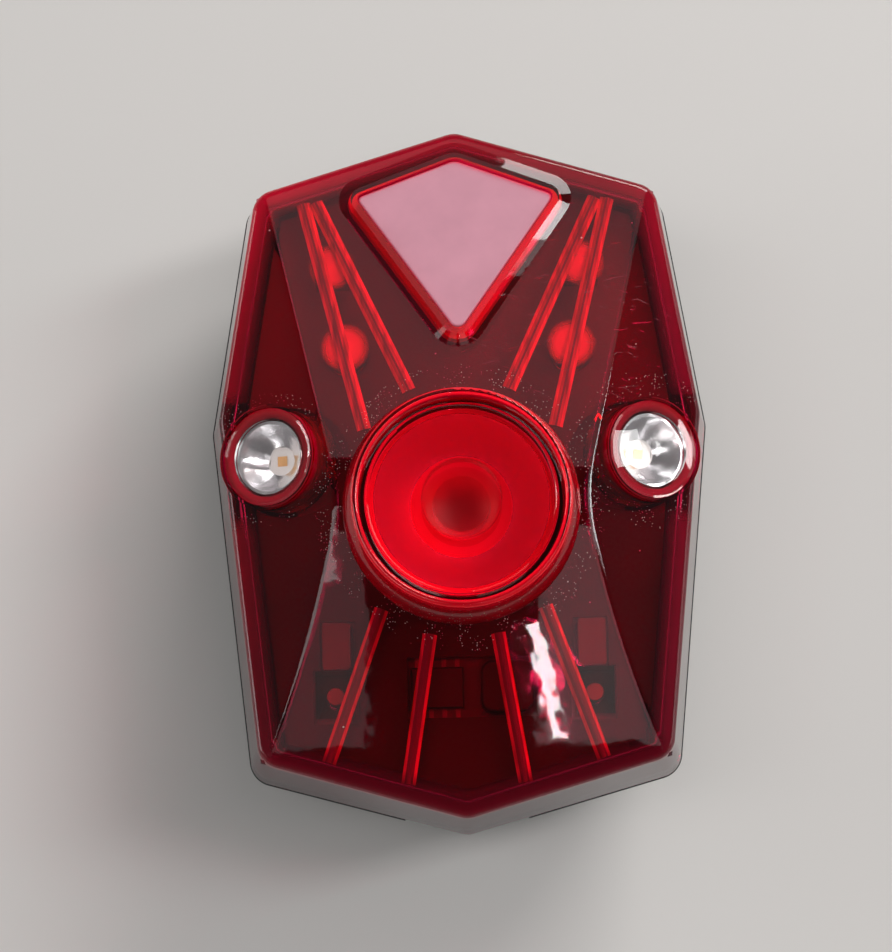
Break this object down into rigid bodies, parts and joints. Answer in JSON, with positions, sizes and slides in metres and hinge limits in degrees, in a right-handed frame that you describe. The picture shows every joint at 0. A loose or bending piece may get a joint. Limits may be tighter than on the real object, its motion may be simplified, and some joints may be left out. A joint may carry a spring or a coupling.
{
  "type": "bicycle tail light",
  "caption": "Battery bicycle tail light: deep red clear cover with a raised main lens, clear side windows, a kite-shaped button and a belt clip on its black back.",
  "frame": {"origin": "on the floor, under the middle of the outline, with the light lying on its belt clip", "axes": "+Z the way the light shines, +Y towards the button end, +X to the light's right"},
  "size_m": [0.0488, 0.0689, 0.035],
  "materials": {
    "red_clear": "polished",
    "clear": "polished",
    "silvered": "polished",
    "mauve_plastic": "satin",
    "dark_plastic": "fine matt",
    "black_rubber": "matt",
    "white_plastic": "satin",
    "amber": "satin",
    "board": "satin",
    "bare_metal": "satin",
    "tinned": "bright",
    "steel": "bright",
    "tan_ceramic": "matt",
    "cell_wrap": "satin"
  },
  "bodies": {
    "case": {"back_case": "dark_plastic", "battery_cradle": "dark_plastic", "cell_left": "cell_wrap", "cell_right": "cell_wrap", "bridge_contact": "tinned", "negative_contact": "tinned", "positive_contact": "tinned", "gasket": "black_rubber"},
    "button": {"button_cap": "mauve_plastic", "switch_plunger": "dark_plastic"},
    "clip": {"belt_clip": "dark_plastic"},
    "front": {"board_parts": "tan_ceramic", "board_screws": "steel", "chip_legs": "tinned", "circuit_board": "board", "driver_chip": "dark_plastic", "driver_coil": "dark_plastic", "emitter_dome": "clear", "front_cover": "red_clear", "inner_frame": "dark_plastic", "lens_seal": "black_rubber", "main_emitter": "white_plastic", "main_lens": "red_clear", "main_reflector": "silvered", "side_board_left": "board", "side_board_right": "board", "side_die_left": "amber", "side_die_right": "amber", "side_led_left": "white_plastic", "side_led_right": "white_plastic", "side_pins_left": "tinned", "side_pins_right": "tinned", "side_reflector_left": "silvered", "side_reflector_right": "silvered", "side_window_left": "clear", "side_window_right": "clear", "star_board": "bare_metal", "switch_body": "dark_plastic", "terminal_block_left": "white_plastic", "terminal_block_right": "white_plastic"}
  },
  "joints": [
    {"name": "front_lift", "type": "slide", "parent": "case", "child": "front", "axis": [0, 0, 1], "range_m": [0, 0.02]},
    {"name": "button_press", "type": "slide", "parent": "front", "child": "button", "axis": [0, 0, -1], "range_m": [0, 0.0006], "stiffness_N_per_m": 300},
    {"name": "clip_open", "type": "hinge", "parent": "case", "child": "clip", "pos_m": [0, 0.0172, 0.0052], "axis": [1, 0, 0], "range_deg": [0, 6], "stiffness_Nm_per_rad": 1}
  ]
}
